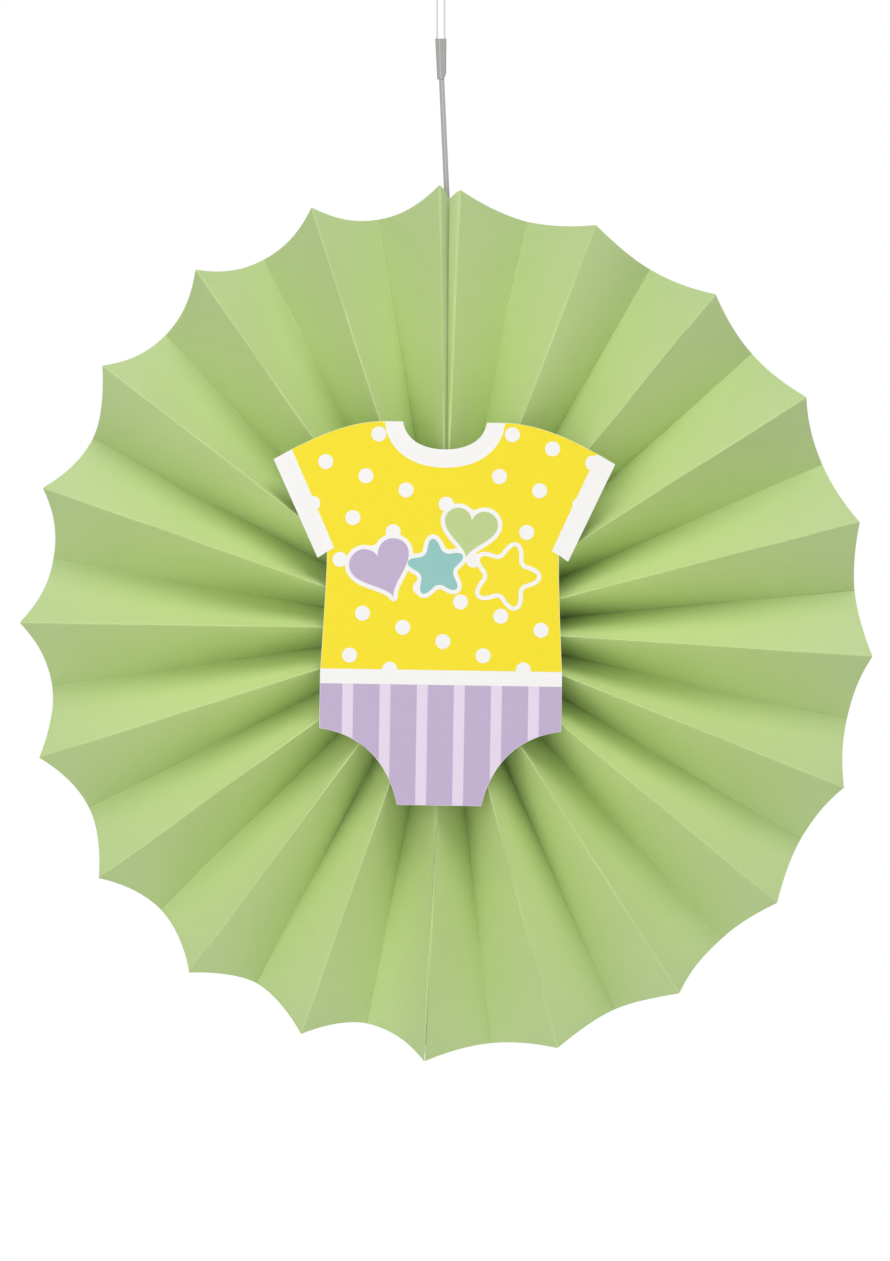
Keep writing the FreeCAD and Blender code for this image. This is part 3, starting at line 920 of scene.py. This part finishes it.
def board_finish(colours):
    """Plain board with open fibres."""
    finish = Finish("plain board")
    fibre = finish.noise(700.0, 4.0)
    return finish.surface({
        "Base Color": finish.blend(fibre, colours.board, deeper(colours.board, 0.9)),
        "Roughness": 0.7 + 0.2 * fibre,
        "Normal": finish.bump(fibre, 0.00003, 0.6),
    })


def foam_finish(colours):
    """White foam with small open cells."""
    finish = Finish("white foam")
    cells = finish.add("TexVoronoi", {}, {"Scale": 1400.0, "Vector": finish.place()})
    return finish.surface({
        "Base Color": finish.blend(cells, colours.foam, colours.deep_foam),
        "Roughness": 0.9,
        "Normal": finish.bump(cells, 0.0001, 0.6),
    })


def glue_finish(colours):
    """Clear glue that shows the green paper, a little uneven."""
    finish = Finish("clear glue strip")
    ripple = finish.noise(300.0, 2.0)
    return finish.surface({
        "Base Color": finish.blend(ripple, colours.glue, colours.deep_glue),
        "Roughness": 0.35 + 0.2 * ripple,
    })


class Backing(bpy.types.Operator):
    """Finishes the hub discs, foam pads and glue strips"""

    bl_idname = "rosette.backing"
    bl_label = "Backing"

    def execute(self, context):
        colours = settings(context, "backing")
        finishes = {
            "_disc": board_finish(colours),
            "foam_pad_": foam_finish(colours),
            "_adhesive": glue_finish(colours),
        }
        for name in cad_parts:
            for part, finish in finishes.items():
                if part in name:
                    dress(name, finish)
        return {"FINISHED"}


# The hanger

# The painted highlight down strap and sleeve, a pale line: where it crosses a height, its lean and
# half width
PAINTED_HIGHLIGHT_LINES = {
    "hanging_strap": {"middle": 0.0004, "height": -0.0474, "lean": 0.045, "half": 0.0005},
    "crimp_sleeve": {"middle": -0.00065, "height": -0.0283, "lean": 0.028, "half": 0.00035},
}
PLASTIC_NAMES = {"hanging_strap": "grey strap", "crimp_sleeve": "grey sleeve"}

# The thread's route: half its width, and the heights of its ends, sides and bend
THREAD_HALF = 0.00175
THREAD_HEIGHTS = (-0.0323, -0.0065, 0.00035)


def hanger_finish(colours, name, middle, height, lean, half):
    """Grey plastic with a faint weave, and a painted highlight as a pale line down its raised part.
    """
    finish = Finish(name)
    place = finish.place()
    weave = finish.noise(700.0)
    across = finish.add("SeparateXYZ", {}, {"Vector": place}, 0)
    down = finish.add("SeparateXYZ", {}, {"Vector": place}, 2)
    away = across - middle + (down - height) * lean
    away = finish.add("Math", {"operation": "ABSOLUTE"}, {0: away})
    line = finish.add("MapRange", {"interpolation_type": "SMOOTHSTEP"}, {
        "Value": away, "From Min": half * 0.3, "From Max": half, "To Min": 1.0, "To Max": 0.0,
    })
    shade = finish.blend(weave * 0.2, colours.grey, colours.weave_and_highlight_grey)
    return finish.surface({
        # Painted highlight: the pale line down the strap and sleeve.
        "Base Color": finish.blend(line * 0.8, shade, colours.weave_and_highlight_grey),
        "Roughness": 0.5 + 0.15 * weave,
        "Normal": finish.bump(weave, 0.00003, 0.5),
    })


def thread_finish(colours):
    """Clear thread, shown as pale grey with faint streaks."""
    finish = Finish("clear thread")
    streak = finish.noise(500.0, 2.0)
    return finish.surface({
        "Base Color": finish.blend(streak * 0.3, colours.thread, colours.deep_thread),
        "Roughness": 0.35 + 0.1 * streak,
        "IOR": 1.4,
    })


class Hanger(bpy.types.Operator):
    """Finishes the strap and crimp, and makes the clear thread loop"""

    bl_idname = "rosette.hanger"
    bl_label = "Hanger"

    def execute(self, context):
        colours = settings(context, "hanger")
        for node, line in PAINTED_HIGHLIGHT_LINES.items():
            dress(node, hanger_finish(colours, PLASTIC_NAMES[node], **line))
        self.thread(colours)
        return {"FINISHED"}

    def thread(self, colours):
        route = [(-THREAD_HALF, 0, z) for z in THREAD_HEIGHTS]
        route += [(THREAD_HALF, 0, z) for z in reversed(THREAD_HEIGHTS)]
        curve = bpy.data.curves.new("clear_thread", "CURVE")
        curve.dimensions = "3D"
        spline = curve.splines.new("NURBS")
        spline.points.add(len(route) - 1)
        for point, place in zip(spline.points, route):
            point.co = place + (1.0,)
        spline.order_u = 3
        spline.use_endpoint_u = True
        spline.resolution_u = 24
        curve.bevel_depth = colours.thread_diameter / 2
        curve.bevel_resolution = 5
        curve.use_fill_caps = True
        curve.materials.append(thread_finish(colours))
        thread = bpy.data.objects.new("clear_thread", curve)
        bpy.context.scene.collection.objects.link(thread)
        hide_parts("thread_loop")
        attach(thread, BODY)


# Floor, lamps, world and camera

# Where the lamps hang, from the fan's centre, and how wide they are
LAMP_PLACES = {"key": (0.4, -1.3, 1.7), "fill": (-0.6, -1.35, 0.1), "back": (0.3, 1.5, 1.7)}
LAMP_WIDTH = 1.5

# The round floor, one metre in radius
FLOOR_CORNERS = 96
FLOOR_COLOUR = (0.93, 0.93, 0.93, 1)
WHITE = (1, 1, 1, 1)

# The camera's sensor in millimetres, and how far the ridge tips stand before the middle
SENSOR_HEIGHT = 36.0
TIP_FRONT = 0.0114


class Stage(bpy.types.Operator):
    """Makes the pale floor, the soft light and the camera"""

    bl_idname = "rosette.stage"
    bl_label = "Stage"

    def execute(self, context):
        values = settings(context, "stage")
        context.scene.view_settings.view_transform = "Standard"
        self.floor(values)
        self.world(context, values)
        for name, place in LAMP_PLACES.items():
            self.lamp(name + "_lamp", Vector(place), getattr(values, name + "_power"))
        self.camera(context, values)
        return {"FINISHED"}

    def floor(self, values):
        finish = Finish("pale floor")
        finish.end("Material", finish.add("BsdfDiffuse", {}, {"Color": FLOOR_COLOUR}))
        height = FAN_CENTRE.z - values.floor_drop
        ring = [(x, y, height) for x, y in circle(FAN_CENTRE.x, 0.0, 1.0, FLOOR_CORNERS)]
        face = tuple(range(FLOOR_CORNERS))
        floor = mesh_piece("floor", ring, [face], [finish.material], smooth=False)

    def world(self, context, values):
        """Soft light on the fan, and plain white where the camera looks past it."""
        world = bpy.data.worlds.new("studio")
        world.use_nodes = True
        context.scene.world = world
        nodes = Nodes(world.node_tree)
        soft = nodes.add("Background", {}, {"Color": WHITE, "Strength": values.sky_level})
        white = nodes.add("Background", {}, {"Color": WHITE, "Strength": 1.0})
        camera = nodes.add("LightPath", output="Is Camera Ray")
        glossy = nodes.add("LightPath", output="Is Glossy Ray")
        through = nodes.add("LightPath", output="Is Transmission Ray")
        seen = nodes.add("Math", {"operation": "MINIMUM"}, {0: camera + glossy + through, 1: 1.0})
        nodes.end("World", nodes.add("MixShader", {}, {0: seen, 1: soft, 2: white}))

    def lamp(self, name, offset, power):
        light = bpy.data.lights.new(name, "AREA")
        light.shape = "DISK"
        light.size = LAMP_WIDTH
        light.energy = power
        lamp = bpy.data.objects.new(name, light)
        lamp.location = FAN_CENTRE + offset
        lamp.rotation_euler = (-offset).to_track_quat("-Z", "Y").to_euler()
        bpy.context.scene.collection.objects.link(lamp)

    def camera(self, context, values):
        data = bpy.data.cameras.new("camera")
        data.sensor_fit = "VERTICAL"
        data.sensor_height = SENSOR_HEIGHT
        data.lens = SENSOR_HEIGHT * values.distance / values.frame_height
        data.clip_start = 0.05
        data.clip_end = 50.0
        camera = bpy.data.objects.new("camera", data)
        camera.location = (FAN_CENTRE.x, -values.distance - TIP_FRONT, FAN_CENTRE.z)
        camera.rotation_euler = (math.pi / 2, 0, 0)
        context.scene.collection.objects.link(camera)
        context.scene.camera = camera


# The sidebar


class RosettePanel(bpy.types.Panel):
    """Lists the makers of the pieces and all their settings"""

    bl_idname = "VIEW3D_PT_rosette"
    bl_label = "Paper Fan Rosette"
    bl_space_type = "VIEW_3D"
    bl_region_type = "UI"
    bl_category = "Rosette"

    def draw(self, context):
        for operator in OPERATORS:
            self.layout.operator(operator.bl_idname)
        for name, group in GROUPS.items():
            box = self.layout.box()
            for key in group.__annotations__:
                box.prop(settings(context, name), key)


OPERATORS = (FoldedPaper, PrintedCard, Backing, Hanger, Stage)
GROUPS = {
    "fan": FanSizes,
    "paper": PaperColours,
    "backing": BackingColours,
    "print": PrintColours,
    "hanger": HangerColours,
    "stage": StageSettings,
}
CLASSES = tuple(GROUPS.values()) + OPERATORS + (RosettePanel,)


def register():
    for item in CLASSES:
        bpy.utils.register_class(item)
    for name, group in GROUPS.items():
        setattr(bpy.types.Scene, "rosette_" + name, PointerProperty(type=group))


def unregister():
    for name in GROUPS:
        delattr(bpy.types.Scene, "rosette_" + name)
    for item in reversed(CLASSES):
        bpy.utils.unregister_class(item)


def main():
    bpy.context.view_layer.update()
    register()
    bpy.ops.rosette.folded_paper()
    bpy.ops.rosette.printed_card()
    bpy.ops.rosette.backing()
    bpy.ops.rosette.hanger()
    bpy.ops.rosette.stage()


if __name__ == "__main__":
    main()
